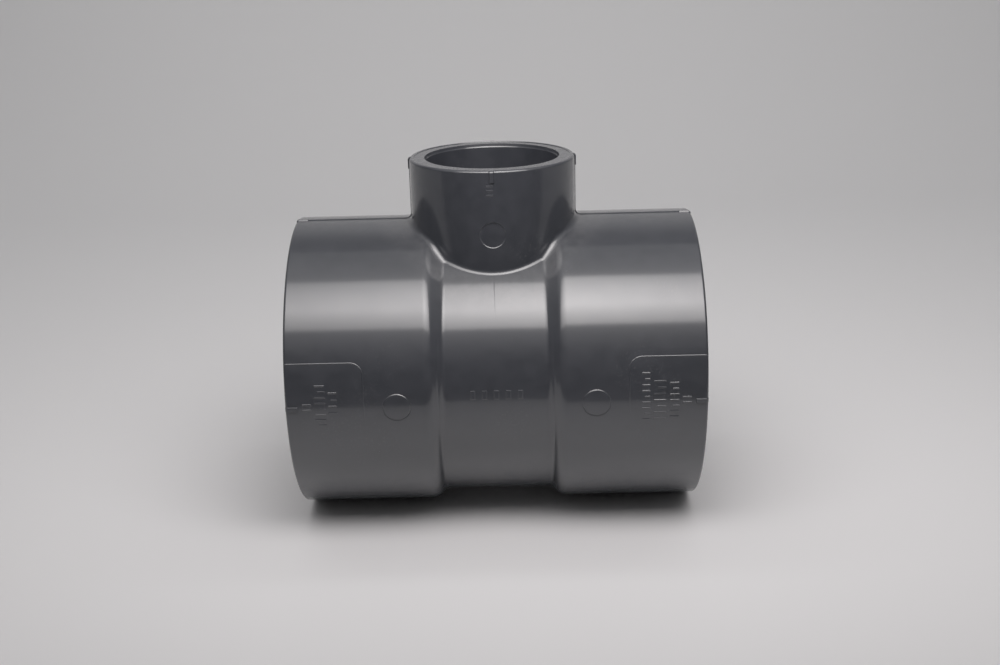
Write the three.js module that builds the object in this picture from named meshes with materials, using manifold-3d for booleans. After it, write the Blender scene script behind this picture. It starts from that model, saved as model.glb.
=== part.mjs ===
// Reducing socket tee, 4 x 4 x 2 in, injection moulded in grey PVC to Schedule 80 wall thickness.
// Millimetres, +Z up. X lies along the run, the branch stands up, and the origin is under the middle of
// the run, level with the undersides of its two lowest alignment ribs.
// The fitting is one moulding. It is modelled as four named sections that meet on flat planes.
import * as THREE from "three";
import { mergeVertices } from "three/addons/utils/BufferGeometryUtils.js";
import Module from "manifold-3d";

const wasm = await Module();
wasm.setup();

// Run: the straight barrel, a 4 in socket at each end and a narrower waist between them.
const RUN_HALF = 91.25;
const RUN_R = 67.5;
const WAIST_R = 63.1;
const WAIST_HALF = 21.6;
const VALLEY_ARC = 3.2; // concave, beside the waist
const CREST_ARC = 7; // convex, beside the socket
const SHOULDER_SLOPE = (34 * Math.PI) / 180;
const RUN_SIDES = 80;

// The 4 in socket tapers from its mouth to the pipe stop. The waterway passes between the two stops.
const RUN_MOUTH_R = 57.38;
const RUN_STOP_R = 57.04;
const RUN_STOP_X = 33.2;
const RUN_WATERWAY_R = 48.6;

// Branch: a 2 in socket. Heights are above the run's axis.
const BRANCH_TOP = 96.15;
const BRANCH_R = 37.75;
const BRANCH_MOUTH_R = 30.31;
const BRANCH_STOP_R = 30.09;
const BRANCH_STOP_Z = 57;
const BRANCH_WATERWAY_R = 24.6;
const BRANCH_SIDES = 64;

// Rims: rounded outside, with a steep lead-in chamfer at each mouth.
const RIM_ROUND = 1.2;
const LEAD_DEEP = 1.9;
const LEAD_WIDE = 0.58;

// Fillet between the branch and the run.
const FILLET_R = 2.8;
const FILLET_STEPS = 4;

// Alignment ribs: four at each rim, on the quarter lines, with flat tops.
const RIB_LENGTH = 5.4;
const RIB_WIDTH = 2;
const RIB_PROUD = 0.65;

// Round gate pads on the front: a raised one on each run socket and a sunk one on the branch.
const PAD_PROUD = 0.25;
const PAD_SUNK = 0.25;
const RUN_PAD_R = 6;
const RUN_PAD_X = 43.1;
const BRANCH_PAD_R = 5.75;
const BRANCH_PAD_Z = 67.7;
const PAD_SIDES = 24;

// Section planes: across the plain stretch of each socket's wall.
const RUN_SECTION_X = 52;
const BRANCH_SECTION_Z = 78;

const AXIS_HEIGHT = RUN_R + RIB_PROUD;
const ARC_STEPS = 3;
const EMBED = 3; // how far a joined piece reaches into its neighbour
const CLEAR = 5; // how far a cutting tool passes its face
const FAR = 200; // beyond every face

const VALLEY_WIDTH = VALLEY_ARC * Math.sin(SHOULDER_SLOPE);
const CREST_WIDTH = CREST_ARC * Math.sin(SHOULDER_SLOPE);
const VALLEY_RISE = VALLEY_ARC * (1 - Math.cos(SHOULDER_SLOPE));
const CREST_RISE = CREST_ARC * (1 - Math.cos(SHOULDER_SLOPE));
const SLOPE_WIDTH = (RUN_R - WAIST_R - VALLEY_RISE - CREST_RISE) / Math.tan(SHOULDER_SLOPE);
const SHOULDER_WIDTH = VALLEY_WIDTH + SLOPE_WIDTH + CREST_WIDTH;

// A closed geometry as a solid that can be joined and cut.
function solidOf(geometry) {
  geometry.deleteAttribute("normal");
  geometry.deleteAttribute("uv");
  const merged = mergeVertices(geometry, 1e-4);
  return new wasm.Manifold(
    new wasm.Mesh({
      numProp: 3,
      vertProperties: merged.attributes.position.array,
      triVerts: new Uint32Array(merged.index.array),
    }),
  );
}

// A solid turned about the Z axis. The outline is a list of [radius, height] from the bottom up.
function turned(outline, sides) {
  const points = outline.map(([radius, height]) => new THREE.Vector2(radius, height));
  return new THREE.LatheGeometry(points, sides).rotateX(Math.PI / 2);
}

// The same, about the X axis.
function turnedAlongRun(outline) {
  return solidOf(turned(outline, RUN_SIDES).rotateY(Math.PI / 2));
}

// Points on an arc in outline space, from one angle to another.
function arc(centreRadius, centreHeight, radius, from, to) {
  return Array.from({ length: ARC_STEPS + 1 }, (_, i) => {
    const angle = from + ((to - from) * i) / ARC_STEPS;
    return [centreRadius + radius * Math.cos(angle), centreHeight + radius * Math.sin(angle)];
  });
}

function boxBetween([x0, y0, z0], [x1, y1, z1]) {
  const box = new THREE.BoxGeometry(x1 - x0, y1 - y0, z1 - z0);
  return solidOf(box.translate((x0 + x1) / 2, (y0 + y1) / 2, (z0 + z1) / 2));
}

// The outline of the run's right half, from its middle to its rim.
function runHalfOutline() {
  const shoulderEnd = WAIST_HALF + SHOULDER_WIDTH;
  return [
    ...arc(WAIST_R + VALLEY_ARC, WAIST_HALF, VALLEY_ARC, Math.PI, Math.PI - SHOULDER_SLOPE),
    ...arc(RUN_R - CREST_ARC, shoulderEnd, CREST_ARC, -SHOULDER_SLOPE, 0),
    ...arc(RUN_R - RIM_ROUND, RUN_HALF - RIM_ROUND, RIM_ROUND, 0, Math.PI / 2),
    [0, RUN_HALF],
  ];
}

function runBarrel() {
  const right = runHalfOutline();
  const left = right.map(([radius, x]) => [radius, -x]).reverse();
  return turnedAlongRun([...left, ...right]);
}

// The run's outside radius at a distance x from its middle.
function runRadius(x) {
  const along = Math.min(Math.max(Math.abs(x) - WAIST_HALF, 0), SHOULDER_WIDTH);
  const left = SHOULDER_WIDTH - along;
  if (along < VALLEY_WIDTH) return WAIST_R + VALLEY_ARC - Math.sqrt(VALLEY_ARC ** 2 - along ** 2);
  if (left < CREST_WIDTH) return RUN_R - CREST_ARC + Math.sqrt(CREST_ARC ** 2 - left ** 2);
  return WAIST_R + VALLEY_RISE + (along - VALLEY_WIDTH) * Math.tan(SHOULDER_SLOPE);
}

// Where a ball of the fillet's radius rests on the run at x: its centre's radius, and the contact's x.
function ballOnRun(x) {
  const steps = 40;
  let best = { centreRadius: 0, contactX: x };
  for (let i = -steps; i <= steps; i++) {
    const aside = (FILLET_R * i) / steps;
    const centreRadius = runRadius(x + aside) + Math.sqrt(FILLET_R ** 2 - aside ** 2);
    if (centreRadius > best.centreRadius) best = { centreRadius, contactX: x + aside };
  }
  return best;
}

// One section of the fillet, at an angle round the branch: the arc of a ball that touches the branch and
// the run, closed through points inside both.
function filletSection(angle) {
  const outward = new THREE.Vector3(Math.cos(angle), Math.sin(angle), 0);
  const centre = outward.clone().multiplyScalar(BRANCH_R + FILLET_R);
  const { centreRadius, contactX } = ballOnRun(centre.x);
  centre.z = Math.sqrt(centreRadius ** 2 - centre.y ** 2);
  const shrink = runRadius(contactX) / centreRadius;
  const onRun = new THREE.Vector3(contactX, centre.y * shrink, centre.z * shrink);
  const toRun = onRun.clone().sub(centre).normalize();
  const toBranch = outward.clone().negate();
  const turn = toBranch.angleTo(toRun);
  const points = [centre.clone().addScaledVector(toBranch, FILLET_R + EMBED)];
  for (let i = 0; i <= FILLET_STEPS; i++) {
    const share = i / FILLET_STEPS;
    const direction = toBranch
      .clone()
      .multiplyScalar(Math.sin((1 - share) * turn))
      .addScaledVector(toRun, Math.sin(share * turn))
      .divideScalar(Math.sin(turn));
    points.push(centre.clone().addScaledVector(direction, FILLET_R));
  }
  const underRun = onRun.clone().addScaledVector(toRun, EMBED);
  const corner = outward.clone().multiplyScalar(BRANCH_R - EMBED);
  corner.z = underRun.z;
  points.push(underRun, corner);
  return points;
}

// The whole fillet: its sections joined into a closed ring.
function branchFillet() {
  const step = (2 * Math.PI) / BRANCH_SIDES;
  const rows = Array.from({ length: BRANCH_SIDES }, (_, i) => filletSection(i * step));
  const width = rows[0].length;
  const index = [];
  for (let i = 0; i < BRANCH_SIDES; i++) {
    for (let j = 0; j < width; j++) {
      const nextRow = (i + 1) % BRANCH_SIDES;
      const nextPoint = (j + 1) % width;
      const [a, b] = [i * width + j, nextRow * width + j];
      const [c, d] = [nextRow * width + nextPoint, i * width + nextPoint];
      index.push(a, c, b, a, d, c);
    }
  }
  const geometry = new THREE.BufferGeometry().setFromPoints(rows.flat());
  geometry.setIndex(index);
  return solidOf(geometry);
}

function branchTube() {
  const rim = arc(BRANCH_R - RIM_ROUND, BRANCH_TOP - RIM_ROUND, RIM_ROUND, 0, Math.PI / 2);
  return solidOf(turned([[0, 0], [BRANCH_R, 0], ...rim, [0, BRANCH_TOP]], BRANCH_SIDES));
}

// The mouth's end of a cutting tool: its lead-in chamfer, carried on past the rim's face.
function leadIn(mouthRadius, face) {
  const wide = LEAD_WIDE * (1 + CLEAR / LEAD_DEEP);
  return [[mouthRadius, face - LEAD_DEEP], [mouthRadius + wide, face + CLEAR], [0, face + CLEAR]];
}

// Both run sockets, their stops and the waterway between them, as one cutting tool.
function runBore() {
  const right = [
    [RUN_WATERWAY_R, RUN_STOP_X],
    [RUN_STOP_R, RUN_STOP_X],
    ...leadIn(RUN_MOUTH_R, RUN_HALF),
  ];
  const left = right.map(([radius, x]) => [radius, -x]).reverse();
  return turnedAlongRun([...left, ...right]);
}

function branchBore() {
  const outline = [
    [0, 0],
    [BRANCH_WATERWAY_R, 0],
    [BRANCH_WATERWAY_R, BRANCH_STOP_Z],
    [BRANCH_STOP_R, BRANCH_STOP_Z],
    ...leadIn(BRANCH_MOUTH_R, BRANCH_TOP),
  ];
  return solidOf(turned(outline, BRANCH_SIDES));
}

// One rib beside the +X rim, on top of the run, turned to its quarter line and its end.
function runRib(quarter, end) {
  const height = EMBED + RIB_PROUD;
  const rib = new THREE.BoxGeometry(RIB_LENGTH, RIB_WIDTH, height);
  rib.translate(RUN_HALF - RIB_LENGTH / 2, 0, RUN_R + RIB_PROUD - height / 2);
  rib.rotateX((quarter * Math.PI) / 2);
  return solidOf(rib.rotateZ(end < 0 ? Math.PI : 0));
}

function branchRib(quarter) {
  const depth = EMBED + RIB_PROUD;
  const rib = new THREE.BoxGeometry(depth, RIB_WIDTH, RIB_LENGTH);
  rib.translate(BRANCH_R + RIB_PROUD - depth / 2, 0, BRANCH_TOP - RIB_LENGTH / 2);
  return solidOf(rib.rotateZ((quarter * Math.PI) / 2));
}

// A disc that faces the front and passes through the wall.
function frontDisc(radius, x, z, wallRadius) {
  const disc = new THREE.CylinderGeometry(radius, radius, 2 * EMBED, PAD_SIDES);
  return solidOf(disc.translate(x, -wallRadius, z));
}

// The outline of a plain cylinder.
function cylinderOutline(radius, bottom, top) {
  return [[0, bottom], [radius, bottom], [radius, top], [0, top]];
}

function runPads() {
  const overWall = turnedAlongRun(cylinderOutline(RUN_R + PAD_PROUD, -RUN_HALF, RUN_HALF));
  return [-RUN_PAD_X, RUN_PAD_X].map((x) => frontDisc(RUN_PAD_R, x, 0, RUN_R).intersect(overWall));
}

// What the branch's pad takes out of the wall.
function branchPad() {
  const underPad = solidOf(turned(cylinderOutline(BRANCH_R - PAD_SUNK, 0, BRANCH_TOP), BRANCH_SIDES));
  return frontDisc(BRANCH_PAD_R, 0, BRANCH_PAD_Z, BRANCH_R).subtract(underPad);
}

function ribs() {
  return [0, 1, 2, 3].flatMap((quarter) => [runRib(quarter, 1), runRib(quarter, -1), branchRib(quarter)]);
}

function tee() {
  const joined = [branchTube(), branchFillet(), ...ribs(), ...runPads()];
  const outside = joined.reduce((all, piece) => all.add(piece), runBarrel());
  return outside.subtract(runBore()).subtract(branchBore()).subtract(branchPad());
}

const greyPvc = new THREE.MeshStandardMaterial({
  color: 0x393b3e,
  roughness: 0.36,
  metalness: 0,
  flatShading: true,
});

function sectionMesh(name, solid) {
  const { vertProperties, triVerts } = solid.getMesh();
  const geometry = new THREE.BufferGeometry();
  geometry.setAttribute("position", new THREE.BufferAttribute(vertProperties, 3));
  geometry.setIndex(new THREE.BufferAttribute(triVerts, 1));
  const mesh = new THREE.Mesh(geometry, greyPvc);
  mesh.name = name;
  return mesh;
}

const moulding = tee();
const sections = {
  run_socket_left: [[-FAR, -FAR, -FAR], [-RUN_SECTION_X, FAR, FAR]],
  run_socket_right: [[RUN_SECTION_X, -FAR, -FAR], [FAR, FAR, FAR]],
  centre_body: [[-RUN_SECTION_X, -FAR, -FAR], [RUN_SECTION_X, FAR, BRANCH_SECTION_Z]],
  branch_socket: [[-RUN_SECTION_X, -FAR, BRANCH_SECTION_Z], [RUN_SECTION_X, FAR, FAR]],
};

const fitting = new THREE.Group();
fitting.position.z = AXIS_HEIGHT;
for (const [name, [low, high]] of Object.entries(sections)) {
  fitting.add(sectionMesh(name, moulding.intersect(boxBetween(low, high))));
}

export default fitting;
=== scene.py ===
import math

import bmesh
import bpy
import numpy as np
from mathutils import Matrix, Vector


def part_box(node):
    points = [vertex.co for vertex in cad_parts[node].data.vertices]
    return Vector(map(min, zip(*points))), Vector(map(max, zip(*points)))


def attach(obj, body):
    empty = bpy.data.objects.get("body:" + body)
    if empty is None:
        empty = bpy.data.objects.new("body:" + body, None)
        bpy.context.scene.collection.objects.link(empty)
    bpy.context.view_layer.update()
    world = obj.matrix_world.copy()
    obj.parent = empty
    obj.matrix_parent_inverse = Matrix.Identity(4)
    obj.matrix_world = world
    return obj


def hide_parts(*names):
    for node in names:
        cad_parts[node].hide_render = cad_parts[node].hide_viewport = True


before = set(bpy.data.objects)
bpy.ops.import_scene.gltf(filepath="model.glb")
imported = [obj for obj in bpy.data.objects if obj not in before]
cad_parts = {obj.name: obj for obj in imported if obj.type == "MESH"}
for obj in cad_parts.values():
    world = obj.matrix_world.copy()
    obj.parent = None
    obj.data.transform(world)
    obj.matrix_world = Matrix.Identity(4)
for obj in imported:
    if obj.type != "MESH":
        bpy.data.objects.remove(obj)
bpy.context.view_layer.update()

# Lengths are in millimetres until a mesh is made. x runs along the run, s is the arc length round the
# run's outside from its top towards the front, and theta is the angle round the branch from +X to the
# front.
METRE = 0.001


def span(node, corner, axis):
    """One coordinate of a CAD node's box."""
    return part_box(node)[corner][axis] / METRE


# Driving dimensions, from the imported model, whose boxes take in the ribs.
RIB_PROUD = 0.65
AXIS_HEIGHT = (span("run_socket_right", 0, 2) + span("run_socket_right", 1, 2)) / 2
RUN_R = span("run_socket_right", 1, 2) - AXIS_HEIGHT - RIB_PROUD
RUN_HALF = span("run_socket_right", 1, 0)
RUN_SECTION = span("run_socket_right", 0, 0)
BRANCH_R = span("branch_socket", 1, 0) - RIB_PROUD
BRANCH_TOP = span("branch_socket", 1, 2) - AXIS_HEIGHT
BRANCH_SECTION = span("branch_socket", 0, 2) - AXIS_HEIGHT

# The shape that the sections share with the CAD model.
WAIST_R = 63.1
CREST_ARC = 7
FILLET_R = 2.8
RIM_ROUND = 1.2
LEAD_DEEP, LEAD_WIDE = 1.9, 0.58  # the chamfer that leads into a socket
LEDGE_DEEP, LEDGE_WIDE = 0.5, 0.25  # the small step at the foot of the lead-in
LIP_WIDE, LIP_PROUD = 0.9, 0.22  # the rim's outer lip stands above the rest of its face
LIP_SLANT = 0.1  # how far the lip's inner wall leans
LEAD_CLEAR = 0.1  # how far the sunk face reaches in past the chamfer's nominal edge
RUN_MOUTH_R, RUN_STOP_R, RUN_STOP_X, RUN_WATERWAY_R = 57.38, 57.04, 33.2, 48.6
BRANCH_MOUTH_R, BRANCH_STOP_R, BRANCH_STOP_Z, BRANCH_WATERWAY_R = 30.31, 30.09, 57, 24.6
BORE_EDGE_R = 1.6  # rounds the edge between the two waterways
RIB_LENGTH = 5.4
RIB_HALF = 1.0
RUN_PAD_X, RUN_PAD_R = 43.1, 6.0
BRANCH_PAD_Z, BRANCH_PAD_R = 67.7, 5.75

# A shoulder is (half the waist, radius of the valley beside it, slope). It is tighter underneath.
UPPER_SHOULDER = (21.6, 3.2, math.radians(34))
LOWER_SHOULDER = (23.7, 1.6, math.radians(50))
LOWER_FROM, LOWER_TO = 108, 136  # the arc length, from the top, over which one turns into the other

# Where the four quarter lines lie: top, front, bottom and back.
RUN_TURN = 2 * math.pi * RUN_R
FRONT_S = RUN_TURN / 4
BRANCH_TURN = 2 * math.pi * BRANCH_R
SADDLE_S = 58.0  # the square patch of the run round the branch reaches this far from the top
BORE_SADDLE_S = SADDLE_S * 0.8  # the same inside the run

# Surface detail.
WALL = 0.16  # run-out of a raised edge
GUARD = 0.16  # plain strip kept beside an edge
PART_LINE_PROUD, PART_LINE_HALF = 0.35, 0.3
SEAM_DEEP, SEAM_HALF = 0.06, 0.2
SEAM_FROM, SEAM_TO, SEAM_FADE_IN, SEAM_FADE_OUT = 40, 68, 2, 6
SEAM_LINES = 60, 66  # extra grid lines where it fades
CREASE_X, CREASE_DEEP, CREASE_HALF = 25.1, 0.15, 0.5
CREASE_FROM, CREASE_TO = 72, 92
PAD_PROUD, PAD_SUNK, PAD_WALL = 0.25, 0.25, 0.2
PAD_GROOVE = 0.14  # depth of the groove round a raised pad
PAD_LEAN = 0.13  # the sunk pad deepens towards its top by this share of itself for each millimetre
PANEL_PROUD, PANEL_HALF = 0.2, 0.3
PANEL_X, PANEL_ROUND = 57.3, 5.5
PANEL_TOP, PANEL_BOTTOM = FRONT_S - 19.9, FRONT_S + 19.9
PANEL_FADE = FRONT_S - 6, FRONT_S + 8  # its outline runs out between these
BAR_PROUD, BAR_HALF = 0.15, 0.36
BRANCH_BAR_PROUD = 0.1

# Grids. Each has lines through its breaks, FINE apart beside a break and wider away from it.
FINE, GROWTH = 0.6, 0.3
RUN_COARSE, BRANCH_COARSE, BRANCH_ROWS_COARSE, BORE_COARSE = 3, 1.5, 2, 4  # the widest spacings
RIM_ROWS, FILLET_ROWS, PATCH_ROWS, BORE_PATCH_ROWS = 7, 9, 30, 6
GRADE_STEPS, CURVE_STEPS = 65, 4001  # samples that a spacing and a curve's length are measured with
WARP_FLAT, WARP_REACH = 0.6, 1.6  # a bent grid follows its circle out to the first, and ends at the second
LEVEL_ASIDE, LEVEL_FADE = math.radians(30), math.radians(15)  # the branch's rows are level near its pad
LEVEL_RISE = 6
NORMAL_STEP = 0.004
SNAP, SAME, TINY = 0.02, 1e-6, 1e-9  # all but on an edge, the same place, and no length at all
WELD = 2e-6  # in metres
ABOUT_RUN, ABOUT_BRANCH = (0, 1, 1), (1, 1, 0)  # keep the part of a vector that is square to the axis

# Stage and lights, in metres.
SOFTBOX_LOW, SOFTBOX_HIGH = (-0.273, 0.281), (-0.14, 0.70)
SOFTBOX_HALF_WIDTH = 0.3
SOFTBOX_POWER = 5.7
SOFTBOX_COLOUR = (1, 0.965, 0.96)
SOFTBOX_ACROSS = 0.05  # the x of its brightest part
SOFTBOX_BRIGHT = 0.25  # how far up its brightest part lies
SOFTBOX_EDGE, SOFTBOX_SIDE = 0.42, 0.2  # how bright its edges and its sides are beside that part
SOFTBOX_REACH = 0.35
BACKDROP_POWER = 3.5
BACKDROP_WIDE, BACKDROP_HIGH = 1.6, 0.4
BACKDROP_PLACE, BACKDROP_AIM_Z = (0, 0.3, 1.1), 0.45
STAGE_REACH, STAGE_TOP = 4, 3
SWEEP_Y, SWEEP_R, SWEEP_STEP = 0.6, 0.5, 5  # the step is in degrees
PAPER, PAPER_ROUGHNESS = (0.772, 0.766, 0.773), 0.8
FOREGROUND_Y, FOREGROUND_Z = -0.25, 0.001
FOREGROUND_GREY = (0.06, 0.06, 0.066)
ROOM_LOW, ROOM_HIGH = 0.7, 8.4
ROOM_RISE = 0.2, 1.0  # the room brightens between these slopes of a ray

# Camera: millimetres for the lens, metres from the run's axis for the place, radians for the turn.
LENS, SENSOR = 46.935, 36
CAMERA_PLACE = (0.006622, -0.590911, 0.205053)
YAW, PITCH, ROLL = -0.00836, 0.3178, -0.02593


# ---- Raised bars, in place of the moulded text: (x from, x to, s from, s to) ----

SHORT_BY = 0.3  # the share of its length that a short bar lacks
TICKS_S = (103.8, 104.7), (106.2, 107.1)
WAIST_BAR_PITCH, WAIST_BAR_HALF, WAIST_BAR_S = 5.2, 1.1, (100.7, 105.0)
BRANCH_BAR_ASIDE, BRANCH_BAR_HIGH = (-0.6, 2.6), 0.8


def column(x_from, x_to, s_from, s_to, count):
    """A column of plain bars across x, evenly spaced in s, with every third one short."""
    pitch = (s_to - s_from) / count
    bars = []
    for i in range(count):
        middle = s_from + pitch * (i + 0.5)
        inset = SHORT_BY * (x_to - x_from) if i % 3 == 1 else 0
        bars.append((x_from + inset, x_to, middle - BAR_HALF, middle + BAR_HALF))
    return bars


def ticks(x_from, x_to):
    """The two bars near a rim, on the quarter line."""
    return [(x_from, x_to, *along) for along in TICKS_S]


LEFT_BARS = [
    *column(-78.5, -73.8, 94.5, 115.0, 8),
    *column(-72.6, -68.8, 97.5, 109.5, 4),
    *ticks(-84.0, -80.0),
]
RIGHT_BARS = [
    *column(62.6, 66.2, 92.0, 115.5, 9),
    *column(67.6, 73.0, 95.5, 115.2, 7),
    *column(74.5, 78.6, 96.5, 114.5, 7),
    *ticks(80.0, 84.0),
]
WAIST_BARS = [
    (i * WAIST_BAR_PITCH - WAIST_BAR_HALF, i * WAIST_BAR_PITCH + WAIST_BAR_HALF, *WAIST_BAR_S)
    for i in range(-2, 3)
]
# On the branch: (aside from, aside to, height from, height to).
BRANCH_BARS = [(*BRANCH_BAR_ASIDE, z, z + BRANCH_BAR_HIGH) for z in (88.9, 86.9, 84.9)]


# ---- Grid lines ----


def graded(breaks, coarse, fine=FINE):
    """Sorted grid lines through every break, close beside the breaks, up to coarse apart between them."""
    breaks = np.unique(np.round(breaks, 6))
    lines = [breaks[0]]
    for low, high in zip(breaks, breaks[1:]):
        place = np.linspace(low, high, GRADE_STEPS)
        step = np.minimum(coarse, fine + GROWTH * np.minimum(place - low, high - place))
        rate = np.concatenate([[0], np.cumsum(np.diff(place) * (1 / step[1:] + 1 / step[:-1]) / 2)])
        count = max(1, round(float(rate[-1])))
        lines += list(np.interp(np.linspace(0, rate[-1], count + 1)[1:], rate, place))
    return np.array(lines)


def foot_lines(v):
    """The breaks that a raised edge needs whose foot is at v."""
    return [v - GUARD, v, v + WALL, v + WALL + GUARD]


def edges_of(low, high):
    """The breaks that a raised bar needs across one direction."""
    return [*foot_lines(low), high - WALL - GUARD, high - WALL, high, high + GUARD]


def ridge_lines(centre, half):
    """The breaks that a narrow ridge needs."""
    return [centre - half - GUARD, centre - half, centre, centre + half, centre + half + GUARD]


def ring_lines(centre, radius):
    """The breaks that a round pad and its bent grid need across one direction."""
    steps = (-PAD_WALL - GUARD, -PAD_WALL, 0, PAD_WALL, PAD_WALL + GUARD, WARP_FLAT, WARP_REACH)
    return [centre, *[centre + sign * (radius + step) for sign in (-1, 1) for step in steps]]


def turn_lines(turn):
    """The breaks that the ribs and the parting ridge need, once round."""
    breaks = [0, turn]
    for quarter in range(5):
        breaks += [quarter * turn / 4 + v for v in edges_of(-RIB_HALF, RIB_HALF)]
    for line in (0, turn / 2, turn):
        breaks += ridge_lines(line, PART_LINE_HALF)
    return breaks


def bend_round(a, b, centre, radius, corner=None):
    """Bends the square grid round a centre, so that its lines follow a circle of that radius. corner limits
    it to one quadrant, for a rounded corner between straight lines."""
    p, q = a - centre[0], b - centre[1]
    square = np.maximum(np.abs(p), np.abs(q))
    near = (square < radius + WARP_REACH) & (square > 0)
    if corner:
        near &= (p * corner[0] >= 0) & (q * corner[1] >= 0)
    fade = np.clip((radius + WARP_REACH - square) / (WARP_REACH - WARP_FLAT), 0, 1)
    shrink = np.where(near, 1 + fade * (square / np.maximum(np.hypot(p, q), TINY) - 1), 1)
    return centre[0] + p * shrink, centre[1] + q * shrink


# ---- Relief: heights above the plain surface ----


def plateau(v, low, high):
    """1 between low and high, run out to 0 over WALL inside each edge."""
    return np.clip((v - low) / WALL, 0, 1) * np.clip((high - v) / WALL, 0, 1)


def ridge(distance, half):
    """1 on a ridge's line, run out to 0 over half to each side."""
    return np.clip(1 - np.abs(distance) / half, 0, 1)


def bar_relief(bars, a, b, height):
    """Plain raised bars, given by their edges."""
    return sum(height * plateau(a, a0, a1) * plateau(b, b0, b1) for a0, a1, b0, b1 in bars)


def pad_relief(distance, radius, height):
    """A round pad, raised or sunk by a height."""
    return height * np.clip((radius - distance) / PAD_WALL, 0, 1)


def run_pad_relief(x, s):
    """The raised pads on the run's front, each in a fine groove."""
    distance = np.hypot(np.abs(x) - RUN_PAD_X, s - FRONT_S)
    groove = PAD_GROOVE * ridge(distance - RUN_PAD_R, PAD_WALL)
    return pad_relief(distance, RUN_PAD_R, PAD_PROUD) - groove


def panel_distance(x, s):
    """How far a point lies from the outline of the insert panel, which runs off the rim."""
    p = PANEL_X + PANEL_ROUND - np.abs(x)
    q = np.abs(s - FRONT_S) - (PANEL_BOTTOM - FRONT_S - PANEL_ROUND)
    outside = np.hypot(np.maximum(p, 0), np.maximum(q, 0)) - PANEL_ROUND
    return outside + np.minimum(np.maximum(p, q), 0)


def quarter_offset(v, turn):
    """Distance from the nearest quarter line."""
    return (v + turn / 8) % (turn / 4) - turn / 8


def rib_share(along, aside):
    """1 on an alignment rib's flat top, given the distance from the rim and from the quarter line."""
    return np.clip((RIB_LENGTH - along) / WALL, 0, 1) * np.clip((RIB_HALF - np.abs(aside)) / WALL, 0, 1)


def run_relief(x, s):
    """All that stands proud of the run, or is cut into it."""
    half_turn = RUN_TURN / 2
    height = PART_LINE_PROUD * ridge((s + half_turn / 2) % half_turn - half_turn / 2, PART_LINE_HALF)
    height = height + bar_relief(LEFT_BARS + RIGHT_BARS + WAIST_BARS, x, s, BAR_PROUD)
    panel = 1 - share_down(s, *PANEL_FADE)
    height = height + PANEL_PROUD * panel * ridge(panel_distance(x, s), PANEL_HALF)
    height = height + run_pad_relief(x, s)
    seam = np.clip((s - SEAM_FROM) / SEAM_FADE_IN, 0, 1) * np.clip((SEAM_TO - s) / SEAM_FADE_OUT, 0, 1)
    height = height - SEAM_DEEP * ridge(x, SEAM_HALF) * seam
    crease = share_down(s, CREASE_FROM, CREASE_TO)
    height = height - CREASE_DEEP * ridge(np.abs(x) - CREASE_X, CREASE_HALF) * crease
    share = rib_share(RUN_HALF - np.abs(x), quarter_offset(s, RUN_TURN))
    return height + share * (RIB_PROUD - height)


def branch_relief(theta, z):
    """The same for the branch."""
    aside = BRANCH_R * (theta - math.pi / 2)
    height = PART_LINE_PROUD * ridge(BRANCH_R * np.sin(theta), PART_LINE_HALF)
    height = height + bar_relief(BRANCH_BARS, aside, z, BRANCH_BAR_PROUD)
    depth = PAD_SUNK * (1 + np.maximum(z - BRANCH_PAD_Z, 0) * PAD_LEAN)
    height = height + pad_relief(np.hypot(aside, z - BRANCH_PAD_Z), BRANCH_PAD_R, -depth)
    share = rib_share(BRANCH_TOP - z, quarter_offset(BRANCH_R * theta, BRANCH_TURN))
    return height + share * (RIB_PROUD - height)


# ---- Surfaces: each gives points for two coordinates ----


def round_x(place, s):
    """Points about the run's axis, at (x, radius)."""
    x, radius = place
    return np.stack([np.full_like(s, x), -radius * np.sin(s / RUN_R), radius * np.cos(s / RUN_R)], -1)


def round_z(place, theta):
    """Points about the branch's axis, at (z, radius)."""
    z, radius = place
    return np.stack([radius * np.cos(theta), -radius * np.sin(theta), np.full_like(theta, z)], -1)


def share_down(s, start, end):
    """0 on the run's upper part and 1 on its lower part, on both sides."""
    return np.clip((np.minimum(s, RUN_TURN - s) - start) / (end - start), 0, 1)


def shoulder_places(shoulder):
    """The x at which the valley starts and ends and the crest starts and ends."""
    half, valley, slope = shoulder
    turned = 1 - math.cos(slope)
    rise = RUN_R - WAIST_R - (valley + CREST_ARC) * turned
    valley_end = half + valley * math.sin(slope)
    crest_start = valley_end + rise / math.tan(slope)
    return half, valley_end, crest_start, crest_start + CREST_ARC * math.sin(slope)


def shoulder_radius(x, shoulder):
    """The outside radius at x, over a concave arc, a straight slope and a convex arc."""
    _, valley, slope = shoulder
    half, valley_end, crest_start, crest_end = shoulder_places(shoulder)
    along = np.clip(np.abs(x), half, crest_end)
    in_valley = WAIST_R + valley - np.sqrt(np.maximum(valley**2 - (along - half) ** 2, 0))
    on_crest = RUN_R - CREST_ARC + np.sqrt(np.maximum(CREST_ARC**2 - (crest_end - along) ** 2, 0))
    on_slope = WAIST_R + valley * (1 - math.cos(slope)) + (along - valley_end) * math.tan(slope)
    return np.where(along < valley_end, in_valley, np.where(along > crest_start, on_crest, on_slope))


def run_radius(x, s):
    """The run's plain outside radius."""
    lower = share_down(s, LOWER_FROM, LOWER_TO)
    lower = lower**2 * (3 - 2 * lower)
    return (1 - lower) * shoulder_radius(x, UPPER_SHOULDER) + lower * shoulder_radius(x, LOWER_SHOULDER)


def rounded_rim(u, rim):
    """How far along the wall arc length u gets, and how far its outside has dropped there at the rim."""
    past = np.clip((u - (rim - RIM_ROUND)) / RIM_ROUND, 0, math.pi / 2)
    return np.minimum(u, rim - RIM_ROUND) + RIM_ROUND * np.sin(past), RIM_ROUND * (1 - np.cos(past))


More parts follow.
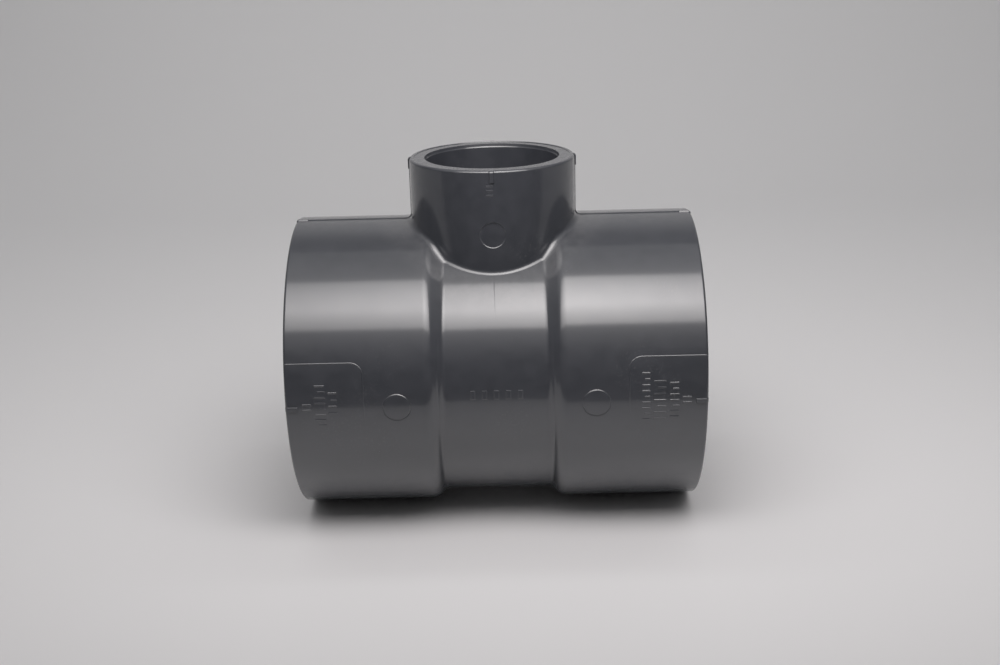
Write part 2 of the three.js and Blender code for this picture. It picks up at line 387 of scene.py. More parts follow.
def run_surface(u, s):
    """The run's outside. u is the arc length along x, over the round of the rims too."""
    along, drop = rounded_rim(np.abs(u), RUN_HALF)
    x = np.sign(u) * along
    return round_x((x, run_radius(x, s) - drop + run_relief(x, s)), s)


def branch_surface(theta, u):
    """The branch's outside. u is the arc length up it, over the round of the rim too."""
    z, drop = rounded_rim(u, BRANCH_TOP)
    return round_z((z, BRANCH_R - drop + branch_relief(theta, z)), theta)


def ball_on_run(x, ball, bore):
    """Centre radius of a ball that rests on the run at x, and its contact's x and radius."""
    if bore:
        flat = np.full_like(x, RUN_WATERWAY_R)
        return flat + ball, x, flat
    half, _, _, crest_end = shoulder_places(UPPER_SHOULDER)
    _, valley, slope = UPPER_SHOULDER
    along = np.abs(x)
    from_valley = np.arcsin(np.clip((along - half) / (valley - ball), 0, math.sin(slope)))
    from_crest = np.arcsin(np.clip((crest_end - along) / (CREST_ARC + ball), 0, math.sin(slope)))
    tilt = np.minimum(from_valley, from_crest)
    contact = along + ball * np.sin(tilt)
    radius = shoulder_radius(contact, UPPER_SHOULDER)
    return radius + ball * np.cos(tilt), np.sign(x) * contact, radius


def saddle_frame(theta, wall, ball, bore):
    """Ball centre and its two contacts, on the branch and on the run, at an angle round the branch."""
    out = np.stack([np.cos(theta), -np.sin(theta)], -1)
    x, y = ((wall + ball) * out[..., i] for i in (0, 1))
    centre_radius, contact_x, contact_radius = ball_on_run(x, ball, bore)
    z = np.sqrt(centre_radius**2 - y**2)
    share = contact_radius / centre_radius
    centre = np.stack([x, y, z], -1)
    on_branch = np.stack([wall * out[..., 0], wall * out[..., 1], z], -1)
    on_run = np.stack([contact_x, y * share, z * share], -1)
    return centre, on_branch, on_run


def saddle_surface(theta, t, wall, ball, bore):
    """The fillet's arc from the branch, t = 0, to the run, t = 1."""
    centre, on_branch, on_run = saddle_frame(theta, wall, ball, bore)
    a, b = (on_branch - centre) / ball, (on_run - centre) / ball
    turn = np.arccos(np.clip((a * b).sum(-1), -1, 1))[..., None]
    share = np.asarray(t)[..., None]
    arm = (np.sin((1 - share) * turn) * a + np.sin(share * turn) * b) / np.sin(turn)
    line = 0 if bore else PART_LINE_PROUD * ridge((centre + ball * arm)[..., 1:2], PART_LINE_HALF)
    return centre + (ball - line) * arm


def flat_place(points):
    """(x, s) of points on the run."""
    return points[..., 0], RUN_R * np.arctan2(-points[..., 1], points[..., 2])


def bore_surface(x, s):
    """The run's waterway."""
    return round_x((x, RUN_WATERWAY_R), s)


def normals_of(surface, u, v):
    """Normals of a surface by small steps either way."""
    du = surface(u + NORMAL_STEP, v) - surface(u - NORMAL_STEP, v)
    dv = surface(u, v + NORMAL_STEP) - surface(u, v - NORMAL_STEP)
    return unit(np.cross(du, dv))


def unit(v):
    """Vectors, each made one long."""
    return v / np.maximum(np.linalg.norm(v, axis=-1, keepdims=True), TINY)


# ---- Shells: closed meshes put together from grids ----


class Shell:
    """Grids of four-sided faces that meet at their edges, with a normal for each face corner."""

    def __init__(self):
        self.points, self.normals, self.faces, self.count = [], [], [], 0

    def grid(self, points, normals, sign=1):
        """Adds a grid, whose faces turn the way of its normals times sign."""
        rows, columns = points.shape[:2]
        normals = np.broadcast_to(normals, points.shape) * sign
        index = self.count + np.arange(rows * columns).reshape(rows, columns)
        quads = np.stack([index[:-1, :-1], index[1:, :-1], index[1:, 1:], index[:-1, 1:]], -1)
        quads = quads.reshape(-1, 4)
        flat = points.reshape(-1, 3)
        corners = flat[quads - self.count]
        facing = np.cross(corners[:, 2] - corners[:, 0], corners[:, 3] - corners[:, 1])
        if (facing * normals.reshape(-1, 3)[quads[:, 0] - self.count]).sum() < 0:
            quads = quads[:, ::-1]
        self._add(flat, normals.reshape(-1, 3), quads.tolist())

    def skin(self, surface, a, b, about, sign=1, first=None):
        """Adds a grid of a surface that faces away from an axis, or towards it for -1. first, if given,
        takes the place of the first row. Returns the points."""
        points, normals = surface(a, b), normals_of(surface, a, b)
        if first is not None:
            points[0] = first
        outward = 1 if (points * about * normals).sum() > 0 else -1
        self.grid(points, normals, sign * outward)
        return points

    def _add(self, points, normals, faces):
        self.points.append(points)
        self.normals.append(normals)
        self.faces += faces
        self.count += len(points)

    def flat_ring(self, outer, inner, angles_out, angles_in, normal):
        """Joins two closed loops in one plane with triangles. Both run the same way round, and their
        last point repeats the first."""
        first_out, first_in = self.count, self.count + len(outer)
        faces, i, j = [], 0, 0
        while i < len(outer) - 1 or j < len(inner) - 1:
            next_out = angles_out[i + 1] if i < len(outer) - 1 else np.inf
            next_in = angles_in[j + 1] if j < len(inner) - 1 else np.inf
            if next_out <= next_in:
                faces.append([first_out + i, first_in + j, first_out + i + 1])
                i += 1
            else:
                faces.append([first_out + i, first_in + j, first_in + j + 1])
                j += 1
        points = np.concatenate([outer, inner])
        a, b, c = (points[k - first_out] for k in faces[0])
        if np.dot(np.cross(b - a, c - a), normal) < 0:
            faces = [f[::-1] for f in faces]
        self._add(points, np.tile(np.array(normal, float), (len(points), 1)), faces)

    def turned(self, profile, about, lines, side=1):
        """Adds a plain ring for each leg of a profile of (place, radius) points, to either side of the
        middle. about is round_x or round_z."""
        for start, end, lean in legs(profile):
            start, end, lean = ((side * place, radius) for place, radius in (start, end, lean))
            foot = about(start, lines)
            tip = about((start[0] + lean[0], start[1] + lean[1]), lines) - foot
            self.grid(np.stack([foot, about(end, lines)]), unit(np.stack([tip, tip])))

    def piece(self, name):
        """The welded mesh as an object, in metres, with its corner normals."""
        points = np.concatenate(self.points)
        normals = np.concatenate(self.normals)
        corners = np.concatenate([np.array(f) for f in self.faces])
        mesh = bpy.data.meshes.new(name)
        mesh.from_pydata((points + (0, 0, AXIS_HEIGHT)) * METRE, [], self.faces)
        kept = mesh.attributes.new("corner_normal", "FLOAT_VECTOR", "CORNER")
        kept.data.foreach_set("vector", normals[corners].astype(np.float32).ravel())
        weld = bmesh.new()
        weld.from_mesh(mesh)
        bmesh.ops.remove_doubles(weld, verts=weld.verts, dist=WELD)
        weld.to_mesh(mesh)
        weld.free()
        mesh.polygons.foreach_set("use_smooth", [True] * len(mesh.polygons))
        values = np.zeros(len(mesh.loops) * 3, np.float32)
        mesh.attributes["corner_normal"].data.foreach_get("vector", values)
        mesh.attributes.remove(mesh.attributes["corner_normal"])
        mesh.normals_split_custom_set(values.reshape(-1, 3))
        return add_object(name, mesh)


def add_object(name, data):
    """An object that holds the data, in the scene."""
    obj = bpy.data.objects.new(name, data)
    bpy.context.scene.collection.objects.link(obj)
    return obj


def legs(points):
    """Straight legs through (place, radius) points of a bore's profile, with normals into the opening."""
    made = []
    for (p0, r0), (p1, r1) in zip(points, points[1:]):
        length = math.hypot(p1 - p0, r1 - r0)
        made.append(((p0, r0), (p1, r1), ((r1 - r0) / length, -(p1 - p0) / length)))
    return made


def taper(place, mouth, stop, mouth_r, stop_r):
    """A socket's radius at a place between its stop and its mouth."""
    return stop_r + (mouth_r - stop_r) * (place - stop) / (mouth - stop)


def socket_taper_run(x):
    return taper(abs(x), RUN_HALF - LEAD_DEEP, RUN_STOP_X, RUN_MOUTH_R, RUN_STOP_R)


def socket_taper_branch(z):
    return taper(z, BRANCH_TOP - LEAD_DEEP, BRANCH_STOP_Z, BRANCH_MOUTH_R, BRANCH_STOP_R)


def rim_profile(rim, outside, mouth):
    """(place, radius) points from the inside of the outer lip, over the face and down the lead-in."""
    step = outside - RIM_ROUND - LIP_WIDE
    return [
        (rim, step),
        (rim - LIP_PROUD, step - LIP_SLANT),
        (rim - LIP_PROUD, mouth + LEAD_WIDE - LEAD_CLEAR),
        (rim - LEAD_DEEP + LEDGE_DEEP, mouth + LEDGE_WIDE),
        (rim - LEAD_DEEP, mouth),
    ]


def rim_rows(rim):
    """Rows over a rim's outer round."""
    return rim - RIM_ROUND + np.linspace(0, RIM_ROUND * math.pi / 2, RIM_ROWS)


# ---- The run's end sections ----


def run_socket(side):
    """The outer part of a run socket: the left one for -1, the right one for 1."""
    bars = RIGHT_BARS if side > 0 else LEFT_BARS
    across = [x for x0, x1, _, _ in bars for x in edges_of(*sorted((abs(x0), abs(x1))))]
    across += [RUN_SECTION, *foot_lines(RUN_HALF - RIB_LENGTH)]
    across += ring_lines(PANEL_X + PANEL_ROUND, PANEL_ROUND)
    across = [x for x in across if RUN_SECTION <= x < RUN_HALF - RIM_ROUND]
    rows = np.concatenate([graded([*across, RUN_HALF - RIM_ROUND], RUN_COARSE), rim_rows(RUN_HALF)[1:]])

    around = turn_lines(RUN_TURN) + [s for _, _, s0, s1 in bars for s in edges_of(s0, s1)]
    corners = ((PANEL_TOP + PANEL_ROUND, -1), (PANEL_BOTTOM - PANEL_ROUND, 1))
    for centre_s, _ in corners:
        around += ring_lines(centre_s, PANEL_ROUND)
    lines = graded([s for s in around if 0 <= s <= RUN_TURN], RUN_COARSE)

    u, s = np.meshgrid(rows, lines, indexing="ij")
    for centre_s, turn in corners:
        u, s = bend_round(u, s, (PANEL_X + PANEL_ROUND, centre_s), PANEL_ROUND, (-1, turn))
    shell = Shell()
    points = shell.skin(run_surface, side * u, s, ABOUT_RUN)

    lip, *rest = rim_profile(RUN_HALF, RUN_R, RUN_MOUTH_R)
    section = (RUN_SECTION, socket_taper_run(RUN_SECTION))
    shell.grid(np.stack([points[-1], round_x((side * lip[0], lip[1]), lines)]), (side, 0, 0))
    shell.turned([lip, *rest, section][::-1], round_x, lines, side)
    shell.grid(np.stack([points[0], round_x((side * section[0], section[1]), lines)]), (-side, 0, 0))
    return shell.piece("socket_right" if side > 0 else "socket_left")


# ---- The top of the branch ----


def branch_socket():
    """The upper part of the branch's socket."""
    heights = [z for _, _, z0, z1 in BRANCH_BARS for z in edges_of(z0, z1)]
    heights += [BRANCH_SECTION, *foot_lines(BRANCH_TOP - RIB_LENGTH), BRANCH_TOP - RIM_ROUND]
    rows = np.concatenate([graded(heights, BRANCH_ROWS_COARSE), rim_rows(BRANCH_TOP)[1:]])

    front = BRANCH_TURN / 4
    around = turn_lines(BRANCH_TURN)
    around += [a for a0, a1, _, _ in BRANCH_BARS for a in edges_of(a0 + front, a1 + front)]
    lines = graded([a for a in around if 0 <= a <= BRANCH_TURN], BRANCH_COARSE) / BRANCH_R

    u, theta = np.meshgrid(rows, lines, indexing="ij")
    shell = Shell()
    points = shell.skin(branch_surface, theta, u, ABOUT_BRANCH)

    lip, *rest = rim_profile(BRANCH_TOP, BRANCH_R, BRANCH_MOUTH_R)
    section = (BRANCH_SECTION, socket_taper_branch(BRANCH_SECTION))
    shell.grid(np.stack([points[-1], round_z(lip, lines)]), (0, 0, 1))
    shell.turned([lip, *rest, section][::-1], round_z, lines)
    shell.grid(np.stack([points[0], round_z(section, lines)]), (0, 0, -1))
    return shell.piece("branch_top")


# ---- The centre: waist, shoulders, saddle and the branch's root ----


def quadrant_angles(wall, ball, bore, reach, half, boundary_x, near_side, near_front, coarse):
    """Angles from the side, 0, to the front, 90 degrees, that space the saddle's foot evenly and send a
    line to each wanted x of the square patch's edge."""
    dense = np.linspace(0, math.pi / 2, CURVE_STEPS)
    foot_x, foot_s = flat_place(saddle_frame(dense, wall, ball, bore)[2])
    bearing = np.arctan2(foot_s, foot_x)
    length = np.concatenate([[0], np.cumsum(np.hypot(np.diff(foot_x), np.diff(foot_s)))])
    wanted = [0, math.pi / 2, *near_side, *[math.pi / 2 - v for v in near_front]]
    breaks = list(np.interp(wanted, dense, length))
    wanted_bearings = [math.atan2(reach, x) for x in boundary_x] + [math.atan2(reach, half)]
    breaks += list(np.interp(wanted_bearings, bearing, length))
    return np.interp(graded(breaks, coarse, fine=0.5), length, dense)


def mirrored(quadrant):
    """A full turn from a quadrant, 0 to 360 degrees, both ends included."""
    half = np.concatenate([quadrant, math.pi - quadrant[-2::-1]])
    return np.concatenate([half, math.pi + half[1:]])


def square_edge(x, s, half, reach):
    """Where the line from the middle through (x, s) leaves the square patch."""
    scale = np.minimum(half / np.maximum(np.abs(x), TINY), reach / np.maximum(np.abs(s), TINY))
    return snap(x * scale, half), snap(s * scale, reach)


def snap(v, limit):
    """Moves values that all but reach a limit onto it."""
    return np.where(np.abs(np.abs(v) - limit) < SNAP, np.sign(v) * limit, v)


def saddle_patch(shell, surface, angles, wall, ball, bore, half, reach, rows):
    """The fillet and the square patch of the run round it. Returns the patch's edge, as (x, s)."""
    facing = -1 if bore else 1
    theta, t = np.meshgrid(angles, np.linspace(0, 1, FILLET_ROWS), indexing="ij")
    points = saddle_surface(theta, t, wall, ball, bore)
    centre = saddle_frame(theta, wall, ball, bore)[0]
    shell.grid(points, unit((centre - points) * facing))
    foot_x, foot_s = flat_place(saddle_frame(angles, wall, ball, bore)[2])
    edge_x, edge_s = square_edge(foot_x, foot_s, half, reach)
    share = np.linspace(0, 1, rows)[:, None]
    x = foot_x + (edge_x - foot_x) * share
    s = foot_s + (edge_s - foot_s) * share
    foot = saddle_surface(angles, np.ones_like(angles), wall, ball, bore)
    shell.skin(surface, x, s, ABOUT_RUN, facing, first=foot)
    return edge_x, edge_s


def lines_on_edge(values, across, edge):
    """The values, in order, of the square patch's lines on its edge at that distance across."""
    return distinct(values[np.abs(across - edge) < SAME])


def distinct(values):
    """The different values, in order."""
    return np.unique(np.round(values, 7))


def one_turn(lines):
    """The different section lines, in order, from the first of them once round the run."""
    lines = distinct(lines)
    return lines[lines <= lines[0] + RUN_TURN + SAME]


def centre_outside(shell):
    """The outside of the centre section. Returns the s of its section lines and the branch's angles."""
    pad_rings = [v for v in ring_lines(0, BRANCH_PAD_R) if v > 0]
    near_front = [v / BRANCH_R for v in [SEAM_HALF / 2, SEAM_HALF, SEAM_HALF + GUARD, *pad_rings]]
    near_side = [v / BRANCH_R for v in (PART_LINE_HALF, PART_LINE_HALF + GUARD)]
    boundary_x = [x for x in ring_lines(RUN_PAD_X, RUN_PAD_R) if x < RUN_SECTION]
    boundary_x += [SEAM_HALF, *shoulder_places(UPPER_SHOULDER), *shoulder_places(LOWER_SHOULDER)[:3]]
    boundary_x += [CREASE_X, CREASE_X - CREASE_HALF, CREASE_X + CREASE_HALF]
    boundary_x += [x for x0, x1, _, _ in WAIST_BARS for x in edges_of(x0, x1) if x > 0]
    saddle = (BRANCH_R, FILLET_R, False)
    angles = mirrored(
        quadrant_angles(*saddle, SADDLE_S, RUN_SECTION, boundary_x, near_side, near_front, coarse=0.9)
    )
    edge_x, edge_s = saddle_patch(
        shell, run_surface, angles, *saddle, RUN_SECTION, SADDLE_S, PATCH_ROWS
    )
    columns = lines_on_edge(edge_x, edge_s, SADDLE_S)
    around = [*edges_of(*WAIST_BAR_S), *ring_lines(FRONT_S, RUN_PAD_R)]
    around += ridge_lines(RUN_TURN / 2, PART_LINE_HALF)
    lines = graded([*around, *SEAM_LINES, SADDLE_S, RUN_TURN - SADDLE_S], RUN_COARSE, fine=1)
    x, s = np.meshgrid(columns, lines, indexing="ij")
    for sign in (-1, 1):
        x, s = bend_round(x, s, (sign * RUN_PAD_X, FRONT_S), RUN_PAD_R)
    shell.skin(run_surface, x, s, ABOUT_RUN)
    sides = lines_on_edge(edge_s, edge_x, RUN_SECTION)
    return np.concatenate([sides, lines[1:-1], sides + RUN_TURN]), angles


def branch_root(shell, angles):
    """The branch's wall from the fillet up to the section plane. Its grid fans out from the fillet, but
    is level near the pad. Returns the points in the section plane."""
    foot = saddle_frame(angles, BRANCH_R, FILLET_R, False)[1][:, 2]
    front_foot = foot.min()
    rings = [z for z in ring_lines(BRANCH_PAD_Z, BRANCH_PAD_R) if z < BRANCH_SECTION]
    level = graded([front_foot, *rings, BRANCH_SECTION], BRANCH_COARSE)
    z_level, theta = np.meshgrid(level, angles, indexing="ij")
    share = (z_level - front_foot) / (BRANCH_SECTION - front_foot)
    fanned = foot + share * (BRANCH_SECTION - foot)
    aside = np.abs((theta - math.pi / 2 + math.pi) % (2 * math.pi) - math.pi)
    near_pad = np.clip((LEVEL_ASIDE - aside) / LEVEL_FADE, 0, 1)
    above_foot = np.clip((z_level - front_foot) / LEVEL_RISE, 0, 1)
    z = fanned + (z_level - fanned) * near_pad * above_foot
    across = BRANCH_R * (theta - math.pi / 2)
    across, z = bend_round(across, z, (0, BRANCH_PAD_Z), BRANCH_PAD_R)
    theta = across / BRANCH_R + math.pi / 2
    return shell.skin(branch_surface, theta, z, ABOUT_BRANCH)[-1]


def centre_inside(shell):
    """Waterways, stops and the inner ends of the sockets. Returns the section lines' s and the angles."""
    saddle = (BRANCH_WATERWAY_R, BORE_EDGE_R, True)
    angles = mirrored(quadrant_angles(*saddle, BORE_SADDLE_S, RUN_STOP_X, [], [], [], coarse=2.4))
    edge_x, edge_s = saddle_patch(
        shell, bore_surface, angles, *saddle, RUN_STOP_X, BORE_SADDLE_S, BORE_PATCH_ROWS
    )
    columns = lines_on_edge(edge_x, edge_s, BORE_SADDLE_S)
    lines = graded([BORE_SADDLE_S, RUN_TURN - BORE_SADDLE_S], BORE_COARSE, fine=2)
    x, s = np.meshgrid(columns, lines, indexing="ij")
    shell.skin(bore_surface, x, s, ABOUT_RUN, -1)
    sides = lines_on_edge(edge_s, edge_x, RUN_STOP_X)
    section_lines = one_turn(np.concatenate([sides, lines, sides[:-1] + RUN_TURN]))
    profile = [
        (RUN_STOP_X, RUN_WATERWAY_R),
        (RUN_STOP_X, RUN_STOP_R),
        (RUN_SECTION, socket_taper_run(RUN_SECTION)),
    ]
    for side in (-1, 1):
        shell.turned(profile, round_x, section_lines, side)
    foot = saddle_frame(angles, *saddle)[1]
    top = round_z((BRANCH_STOP_Z, BRANCH_WATERWAY_R), angles)
    shell.grid(np.stack([foot, top]), np.stack([unit(foot * ABOUT_BRANCH)] * 2), -1)
    profile = [
        (BRANCH_STOP_Z, BRANCH_WATERWAY_R),
        (BRANCH_STOP_Z, BRANCH_STOP_R),
        (BRANCH_SECTION, socket_taper_branch(BRANCH_SECTION)),
    ]
    shell.turned(profile, round_z, angles)
    return section_lines, angles


def centre_body():
    """Everything between the section planes."""
    shell = Shell()
    lines_out, angles_out = centre_outside(shell)
    wall_top = branch_root(shell, angles_out)
    lines_in, angles_in = centre_inside(shell)
    inner_top = round_z((BRANCH_SECTION, socket_taper_branch(BRANCH_SECTION)), angles_in)
    shell.flat_ring(wall_top, inner_top, angles_out, angles_in, (0, 0, 1))
    lines_out = one_turn(lines_out)
    for side in (-1, 1):
        x = side * RUN_SECTION
        outer = run_surface(np.full_like(lines_out, x), lines_out)
        inner = round_x((x, socket_taper_run(RUN_SECTION)), lines_in)
        shell.flat_ring(outer, inner, lines_out - lines_out[0], lines_in - lines_in[0], (side, 0, 0))
    return shell.piece("centre")


# ---- Material ----

PVC_DARK, PVC_LIGHT = (0.0325, 0.0355, 0.0434, 1), (0.0410, 0.0440, 0.0536, 1)
WORN_AND_GLOW_GREY = (0.16, 0.16, 0.165, 1)  # of scuffs, and of the painted glow round the branch's foot
FLOW_SHARE = 0.6  # of the tone. The rest is mottle
WORN_SHARE = 0.35  # how much a worn patch counts beside a scratch
SCUFF_PALE, GLOW_AND_DUST_PALE, SCUFF_ROUGH = 0.1, 0.16, 0.12
# The painted glow is a pale ring on the run round the branch's foot, standing in for light spread below the
# fillet's highlight, mottled with dusty specks. These two lines set where it lies.
GLOW_AND_DUST_RING = (0.0378, 0.0400), (0.0440, 0.0580)  # metres from the branch's axis: fades in, then out
GLOW_AND_DUST_RISE = 0.095, 0.112  # metres above the floor


class Graph:
    """Adds shader nodes to the node tree of a material, a light or a world."""

    def __init__(self, owner):
        owner.use_nodes = True
        self.nodes, self.links = owner.node_tree.nodes, owner.node_tree.links

    def feed(self, node, inputs):
        """Sets a node's inputs to values, or links them to outputs."""
        for name, value in inputs.items():
            if isinstance(value, bpy.types.NodeSocket):
                self.links.new(value, node.inputs[name])
            else:
                node.inputs[name].default_value = value

    def add(self, kind, inputs, **settings):
        """A new node with these settings and inputs."""
        node = self.nodes.new(kind)
        for name, value in settings.items():
            setattr(node, name, value)
        self.feed(node, inputs)
        return node

    def place(self, kind, output):
        """A place or a direction, from a node that has no inputs."""
        return self.nodes.new(kind).outputs[output]

    def along(self, vector, axis):
        """One coordinate of a vector."""
        return self.add("ShaderNodeSeparateXYZ", {"Vector": vector}).outputs[axis]

    def arithmetic(self, operation, *values):
        return self.add("ShaderNodeMath", dict(enumerate(values)), operation=operation).outputs[0]

    def product(self, a, b):
        return self.arithmetic("MULTIPLY", a, b)

    def total(self, a, b):
        return self.arithmetic("ADD", a, b)

    def ramp(self, value, low, high, to_low=0.0, to_high=1.0, kind="SMOOTHSTEP"):
        """A value carried from one range to another."""
        inputs = {"Value": value, "From Min": low, "From Max": high, "To Min": to_low, "To Max": to_high}
        return self.add("ShaderNodeMapRange", inputs, interpolation_type=kind).outputs["Result"]

    def mapped(self, place, **inputs):
        """A place that has been stretched or turned."""
        return self.add("ShaderNodeMapping", {"Vector": place, **inputs}).outputs["Vector"]

    def noise(self, place, scale, detail):
        """Noise by place, from 0 to 1."""
        inputs = {"Vector": place, "Scale": scale, "Detail": detail, "Roughness": 0.55}
        return self.add("ShaderNodeTexNoise", inputs).outputs["Fac"]

    def mix(self, factor, a, b):
        """A colour between two others."""
        inputs = {"Factor": factor, "A": a, "B": b}
        return self.add("ShaderNodeMix", inputs, data_type="RGBA").outputs["Result"]

    def bump(self, height, strength, distance, invert=False, **inputs):
        """A normal that follows a height, on top of another normal if there is one."""
        inputs = {"Height": height, "Strength": strength, "Distance": distance, **inputs}
        return self.add("ShaderNodeBump", inputs, invert=invert).outputs["Normal"]


def scratches(graph, place, turn, scale, threshold):
    """Fine straight scratches, in patches."""
    stretched = graph.mapped(graph.mapped(place, Rotation=turn), Scale=(1, 0.06, 1))
    thin = graph.ramp(graph.noise(stretched, scale, detail=0), low=threshold, high=threshold + 0.03)
    patches = graph.ramp(graph.noise(place, scale=26, detail=1), low=0.55, high=0.7)
    return graph.product(thin, patches)


def saddle_glow_and_dust(graph, place):
    """A painted glow: paler colour on the run round the foot of the branch, below the fillet's highlight,
    mottled with dusty specks.
    """
    flat = graph.add("ShaderNodeVectorMath", {0: place, 1: (1, 1, 0)}, operation="MULTIPLY").outputs[0]
    distance = graph.add("ShaderNodeVectorMath", {0: flat}, operation="LENGTH").outputs["Value"]
    begins, ends = GLOW_AND_DUST_RING
    ring = graph.product(graph.ramp(distance, *begins), graph.ramp(distance, *ends, to_low=1, to_high=0))
    above = graph.ramp(graph.along(place, "Z"), *GLOW_AND_DUST_RISE)
    specks = graph.noise(place, scale=230, detail=4)
    patchy = graph.ramp(specks, low=0.3, high=0.7, to_low=0.6, to_high=1.3)
    return graph.product(graph.product(ring, above), patchy)


def grey_pvc():
    """Dark grey moulded PVC: semi-gloss, faintly wavy, with flow marks, handling scuffs and a painted glow
    round the branch's foot.
    """
    material = bpy.data.materials.new("grey_pvc")
    graph = Graph(material)
    place = graph.place("ShaderNodeTexCoord", "Object")

    flow = graph.noise(graph.mapped(place, Scale=(0.35, 1, 1)), scale=22, detail=3)
    mottle = graph.noise(place, scale=160, detail=3)
    worn = graph.ramp(graph.noise(place, scale=34, detail=4), low=0.56, high=0.74)
    lines = graph.total(
        scratches(graph, place, turn=(0.2, 0.5, 0.6), scale=900, threshold=0.70),
        scratches(graph, place, turn=(0.9, -0.4, -0.3), scale=1100, threshold=0.71),
    )
    scuffs = graph.total(graph.product(worn, WORN_SHARE), lines)

    tone = graph.total(graph.product(flow, FLOW_SHARE), graph.product(mottle, 1 - FLOW_SHARE))
    body = graph.mix(graph.ramp(tone, low=0.35, high=0.65), PVC_DARK, PVC_LIGHT)
    # Painted glow: pales the run round the branch's foot, as if the fillet's highlight spread there.
    glow_and_dust = graph.product(saddle_glow_and_dust(graph, place), GLOW_AND_DUST_PALE)
    marks = graph.total(graph.product(scuffs, SCUFF_PALE), glow_and_dust)
    satin = graph.ramp(mottle, low=0.3, high=0.7, to_low=0.46, to_high=0.54)

    wave = graph.bump(graph.noise(place, scale=28, detail=1), strength=0.35, distance=0.00025)
    fine = graph.noise(place, scale=700, detail=2)
    grain = graph.bump(fine, strength=0.25, distance=0.00002, Normal=wave)
    cut = graph.bump(lines, strength=0.3, distance=0.00002, invert=True, Normal=grain)

    graph.feed(graph.nodes["Principled BSDF"], {
        "Base Color": graph.mix(marks, body, WORN_AND_GLOW_GREY),
        "Roughness": graph.total(satin, graph.product(scuffs, SCUFF_ROUGH)),
        "Normal": cut,
        "Coat Normal": cut,
        "IOR": 1.54,
        "Specular IOR Level": 0.5,
        "Coat Weight": 0.95,
        "Coat Roughness": 0.13,
        "Coat IOR": 1.7,
    })
    return material


# ---- Stage, lights and camera ----


def streak(light, low, high):
    """Gives the softbox a bright streak along x, dimmer towards its sides and its two edges."""
    up = low + (high - low) * SOFTBOX_BRIGHT
    graph = Graph(light)
    place = graph.place("ShaderNodeNewGeometry", "Position")
    below = graph.ramp(graph.along(place, "Z"), low, up, SOFTBOX_EDGE, 1, "LINEAR")
    above = graph.ramp(graph.along(place, "Z"), up, high, 1, SOFTBOX_EDGE, "LINEAR")
    aside = graph.arithmetic("ABSOLUTE", graph.total(graph.along(place, "X"), -SOFTBOX_ACROSS))
    sides = graph.ramp(aside, 0, SOFTBOX_REACH, 1, SOFTBOX_SIDE, "LINEAR")
    graph.feed(graph.nodes["Emission"], {
        "Color": (*SOFTBOX_COLOUR, 1),
        "Strength": graph.product(graph.product(below, above), sides),
    })


def area_light(name, width, height, power, middle, turn):
    """A rectangular light that the camera does not see."""
    light = bpy.data.lights.new(name, "AREA")
    light.shape = "RECTANGLE"
    light.size, light.size_y = width, height
    light.energy = power
    obj = add_object(name, light)
    obj.matrix_world = Matrix.Translation(middle) @ turn.to_4x4()
    obj.visible_camera = False
    return obj


def softbox():
    """A wide softbox in front of and above the object, between its low and its high edge."""
    low, high = Vector((0, *SOFTBOX_LOW)), Vector((0, *SOFTBOX_HIGH))
    rise, side = (high - low).normalized(), Vector((1, 0, 0))
    turn = Matrix((side, rise, side.cross(rise))).transposed()
    length = (high - low).length
    obj = area_light("softbox", 2 * SOFTBOX_HALF_WIDTH, length, SOFTBOX_POWER, (low + high) / 2, turn)
    streak(obj.data, low.z, high.z)


def backdrop_light():
    """A wide light that evens out the backdrop behind the object."""
    place, aim = Vector(BACKDROP_PLACE), Vector((0, SWEEP_Y + SWEEP_R, BACKDROP_AIM_Z))
    turn = (aim - place).to_track_quat("-Z", "Y").to_matrix()
    obj = area_light("backdrop_light", BACKDROP_WIDE, BACKDROP_HIGH, BACKDROP_POWER, place, turn)
    obj.visible_glossy = False


def stage_material(name, colour, roughness):
    """A plain material for a staged sheet."""
    material = bpy.data.materials.new(name)
    graph = Graph(material)
    graph.feed(graph.nodes["Principled BSDF"], {"Base Color": (*colour, 1), "Roughness": roughness})
    return material


def strip(name, path, material):
    """A staged sheet that follows a path of (y, z) points across X."""
    points = [(x, y, z) for y, z in path for x in (-STAGE_REACH, STAGE_REACH)]
    faces = [(2 * i, 2 * i + 1, 2 * i + 3, 2 * i + 2) for i in range(len(path) - 1)]
    mesh = bpy.data.meshes.new(name)
    mesh.from_pydata(points, [], faces)
    mesh.polygons.foreach_set("use_smooth", [True] * len(faces))
    mesh.materials.append(material)
    obj = add_object(name, mesh)
    return obj


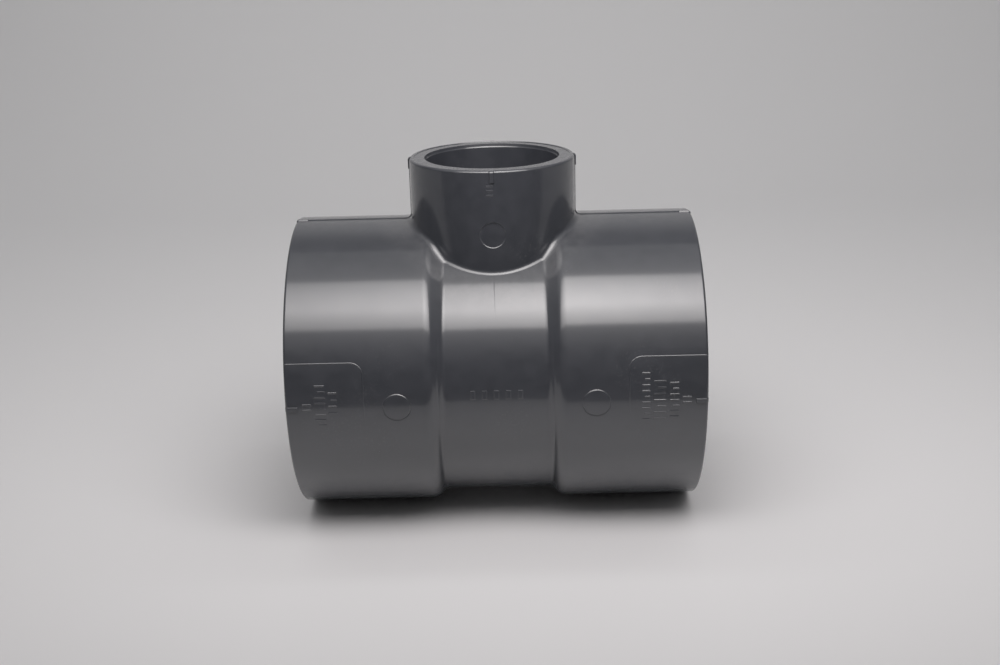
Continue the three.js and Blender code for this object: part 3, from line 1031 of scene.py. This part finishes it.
def floor_and_backdrop():
    """A pale floor that sweeps up behind the object."""
    turns = [math.radians(a) for a in range(0, 91, SWEEP_STEP)]
    bend = [(SWEEP_Y + SWEEP_R * math.sin(a), SWEEP_R * (1 - math.cos(a))) for a in turns]
    path = [(-STAGE_REACH, 0), *bend, (SWEEP_Y + SWEEP_R, STAGE_TOP)]
    strip("floor", path, stage_material("pale_paper", PAPER, PAPER_ROUGHNESS))


def dark_foreground():
    """The unlit room in front of the table's edge, which only the object's gloss picks up."""
    path = [(-STAGE_REACH, FOREGROUND_Z), (FOREGROUND_Y, FOREGROUND_Z)]
    card = strip("dark_foreground", path, stage_material("black_card", FOREGROUND_GREY, 1))
    for ray in ("camera", "diffuse", "transmission", "volume_scatter", "shadow"):
        setattr(card, f"visible_{ray}", False)


def room():
    """A dim room: dark around, brighter overhead."""
    world = bpy.data.worlds.new("room")
    graph = Graph(world)
    up = graph.along(graph.place("ShaderNodeTexCoord", "Generated"), "Z")
    graph.feed(graph.nodes["Background"], {"Strength": graph.ramp(up, *ROOM_RISE, ROOM_LOW, ROOM_HIGH)})
    bpy.context.scene.world = world


def camera():
    """The camera that took the photo, as fitted to the outlines of the run and the branch."""
    data = bpy.data.cameras.new("camera")
    data.lens, data.sensor_width = LENS, SENSOR
    forward = Vector((math.sin(YAW) * math.cos(PITCH), math.cos(YAW) * math.cos(PITCH), -math.sin(PITCH)))
    level = Vector((math.cos(YAW), -math.sin(YAW), 0))
    upright = level.cross(forward)
    right = level * math.cos(ROLL) + upright * math.sin(ROLL)
    up = upright * math.cos(ROLL) - level * math.sin(ROLL)
    turn = Matrix((right, up, -forward)).transposed()
    x, y, z = CAMERA_PLACE
    obj = add_object("camera", data)
    obj.matrix_world = Matrix.Translation((x, y, z + AXIS_HEIGHT * METRE)) @ turn.to_4x4()
    bpy.context.scene.camera = obj


pvc = grey_pvc()
stands_for = {
    "run_socket_left": run_socket(-1),
    "run_socket_right": run_socket(1),
    "centre_body": centre_body(),
    "branch_socket": branch_socket(),
}
for node, piece in stands_for.items():
    piece.data.materials.append(pvc)
    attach(piece, "root")
    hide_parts(node)

floor_and_backdrop()
dark_foreground()
softbox()
backdrop_light()
room()
camera()
bpy.context.scene.view_settings.view_transform = "Standard"
